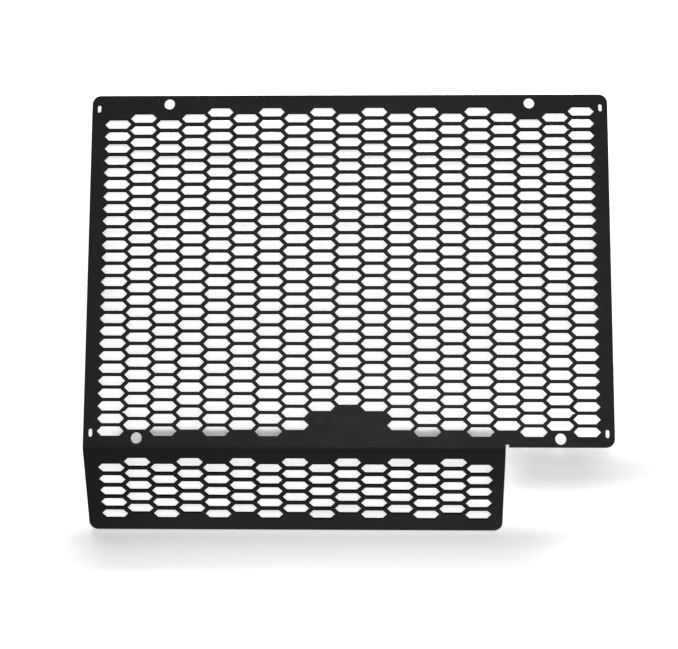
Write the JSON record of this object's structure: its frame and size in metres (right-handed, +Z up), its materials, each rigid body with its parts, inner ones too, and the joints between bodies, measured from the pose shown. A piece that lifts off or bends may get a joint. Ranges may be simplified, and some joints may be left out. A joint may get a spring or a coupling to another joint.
{
  "type": "motorcycle radiator guard",
  "caption": "Black folded sheet-metal guard for a motorcycle radiator, with a grille of long hexagonal openings, round fixing holes, cable tie slots and a turned-back lower flap.",
  "frame": {"origin": "on the surface the guard lies on, under the middle of its box", "axes": "+X along the fold, from the flap's full corner to the short end; +Y from the flap towards the panel's upper edge; +Z up, out of the front face"},
  "size_m": [0.3608, 0.304, 0.0275],
  "materials": {
    "black_powder_coat": "satin black powder coat on aluminium sheet"
  },
  "bodies": {
    "root": {"radiator_guard": "black_powder_coat"}
  },
  "joints": []
}
